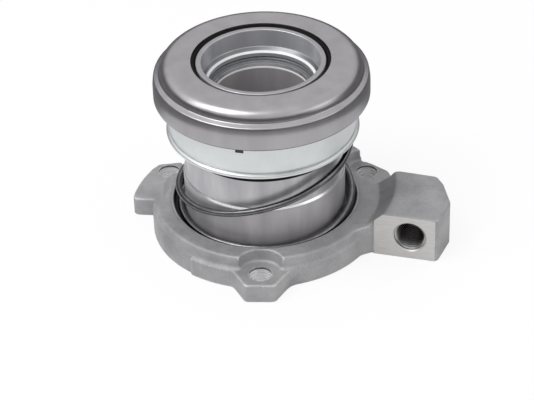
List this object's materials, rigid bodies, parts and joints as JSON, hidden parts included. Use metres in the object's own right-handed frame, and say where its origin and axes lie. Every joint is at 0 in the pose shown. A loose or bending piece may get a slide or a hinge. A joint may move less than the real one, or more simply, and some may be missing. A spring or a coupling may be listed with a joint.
{
  "type": "concentric slave cylinder",
  "caption": "Ring-shaped hydraulic clutch release cylinder: cast flange with bolt ears and fluid port, annular piston, preload spring in a cup and a release bearing on top.",
  "frame": {"origin": "on the bore's axis in the gearbox face of the flange, the centre of the three bolt holes", "axes": "+Z along the bore towards the clutch, -Y the side that the fluid port opens to"},
  "size_m": [0.1002, 0.0794, 0.0604],
  "materials": {
    "casting": "matte as-cast aluminium",
    "tube_steel": "drawn steel",
    "spring_steel": "dark oiled spring steel",
    "rubber": "black sealing rubber",
    "bearing_steel": "satin turned steel",
    "zinc_plate": "pale bluish zinc plating",
    "piston_plastic": "dark glass-filled plastic",
    "cage_plastic": "natural plastic"
  },
  "bodies": {
    "casting": {"housing": "casting", "guide_tube": "tube_steel", "tube_snap_ring": "spring_steel", "tube_oring": "rubber", "base_oring": "rubber", "duct_ball": "bearing_steel", "shaft_seal_case": "tube_steel", "shaft_seal_lip": "rubber", "shaft_seal_spring": "spring_steel", "cylinder_wiper": "rubber", "preload_spring": "spring_steel"},
    "carriage": {"piston": "piston_plastic", "lip_seal": "rubber", "seal_expander": "piston_plastic", "spring_cup": "zinc_plate", "disc_spring": "spring_steel", "piston_clip": "spring_steel", "bearing_inner_ring": "bearing_steel"},
    "outer_race": {"bearing_outer_ring": "bearing_steel", "front_seal": "rubber", "rear_shield": "tube_steel"},
    "cage": {"ball_cage": "cage_plastic", "bearing_balls": "bearing_steel"}
  },
  "joints": [
    {"name": "piston_slide", "type": "slide", "parent": "casting", "child": "carriage", "axis": [0, 0, 1], "range_m": [-0.012, 0], "deforming": ["preload_spring"]},
    {"name": "outer_spin", "type": "hinge", "parent": "carriage", "child": "outer_race", "pos_m": [0, 0, 0.05355], "axis": [0, 0, 1], "continuous": true},
    {"name": "cage_spin", "type": "hinge", "parent": "carriage", "child": "cage", "pos_m": [0, 0, 0.05355], "axis": [0, 0, 1], "continuous": true}
  ],
  "couplings": [
    {"joint": "cage_spin", "follows": "outer_spin", "ratio": 0.544}
  ]
}
